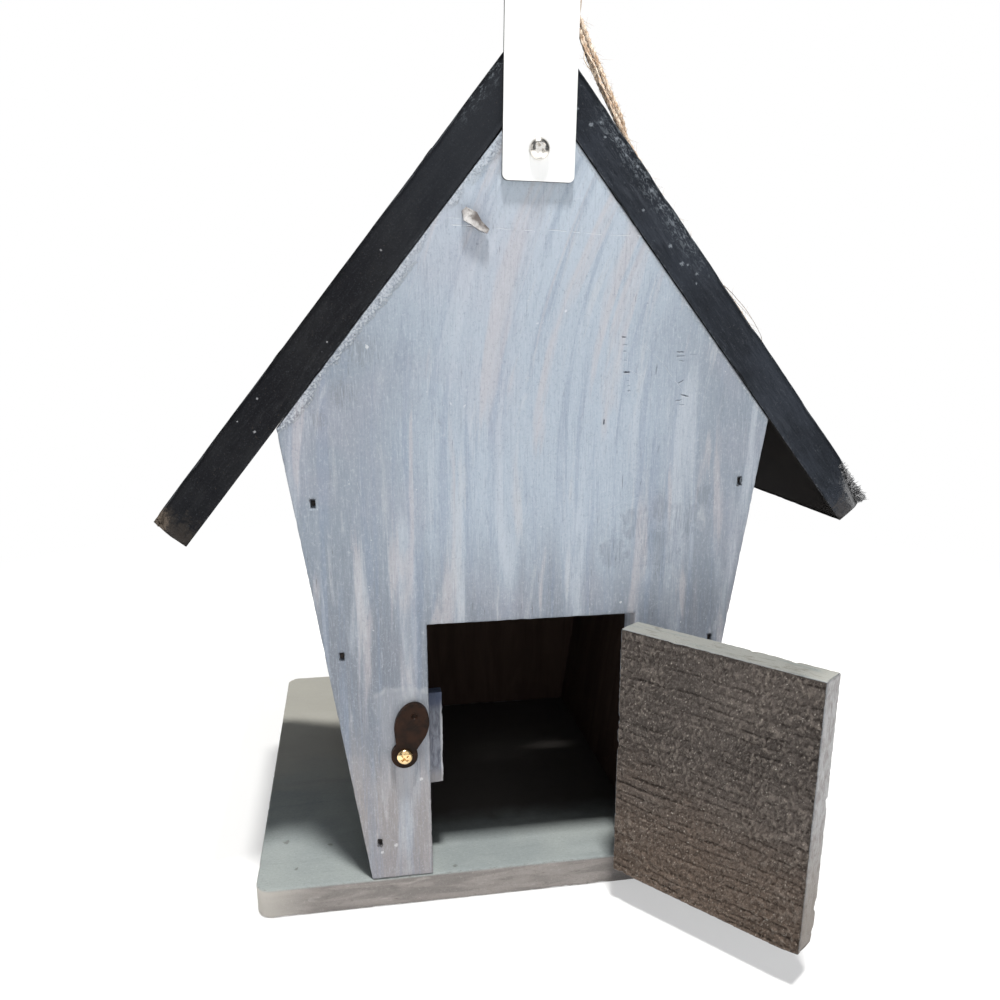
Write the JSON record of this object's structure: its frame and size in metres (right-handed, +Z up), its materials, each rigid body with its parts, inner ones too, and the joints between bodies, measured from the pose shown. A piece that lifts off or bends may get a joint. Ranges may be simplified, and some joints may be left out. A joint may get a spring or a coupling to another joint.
{
  "type": "birdhouse",
  "caption": "Wooden bird house on a wide base, with tapered walls, pitched roof, hinged cleaning door with a turn button, metal hanging strap and jute loop.",
  "frame": {"origin": "centre of the base board's underside", "axes": "+Z up; the cleaning door faces -Y, the entrance hole faces +Y, +X to the right seen from the door side"},
  "size_m": [0.2082, 0.2288, 0.3124],
  "materials": {
    "wall_paint": "thin blue-grey wash brushed over pine, grain showing",
    "base_paint": "thin grey-green wash, rubbed at the edges",
    "roof_paint": "slate-black paint, scuffed pale at the corners",
    "door_wood": "rough-sawn grey-brown wood, edges painted off-white",
    "bronze": "dark bronze lacquer, semi-gloss",
    "brass_screw": "bright brass, polished",
    "strap_metal": "bright white metal, satin",
    "bright_steel": "bright zinc-plated steel",
    "brad_steel": "dark oxidised steel",
    "jute": "three-strand jute twine, hairy"
  },
  "bodies": {
    "house": {"base_board": "base_paint", "door_panel": "wall_paint", "entrance_panel": "wall_paint", "side_wall_left": "wall_paint", "side_wall_right": "wall_paint", "roof_board_left": "roof_paint", "roof_board_right": "roof_paint", "hinge_leaves_frame": "bronze", "hinge_pins": "bronze", "hinge_screws_frame": "bronze", "button_screw": "brass_screw", "door_stop": "wall_paint", "strap_screw": "bright_steel", "bent_nail": "bright_steel", "brads_door_panel": "brad_steel", "brads_entrance_panel": "brad_steel", "brads_roof": "brad_steel", "brads_base": "brad_steel", "jute_loop": "jute", "loop_knot": "jute"},
    "door_leaf": {"door": "door_wood", "hinge_leaves_door": "bronze", "hinge_screws_door": "bronze"},
    "button": {"turn_button": "bronze"},
    "strap": {"hanging_strap": "strap_metal"}
  },
  "joints": [
    {"name": "door_hinge", "type": "hinge", "parent": "house", "child": "door_leaf", "pos_m": [0.0319, -0.0875, 0.051], "axis": [0, 0, 1], "range_deg": [-128.4, 45]},
    {"name": "latch_turn", "type": "hinge", "parent": "house", "child": "button", "pos_m": [-0.03905, -0.0871, 0.0527], "axis": [0, 1, 0], "continuous": true},
    {"name": "strap_swivel", "type": "hinge", "parent": "house", "child": "strap", "pos_m": [0.00055, -0.0868, 0.2199], "axis": [0, 1, 0], "range_deg": [-91, 89]}
  ]
}
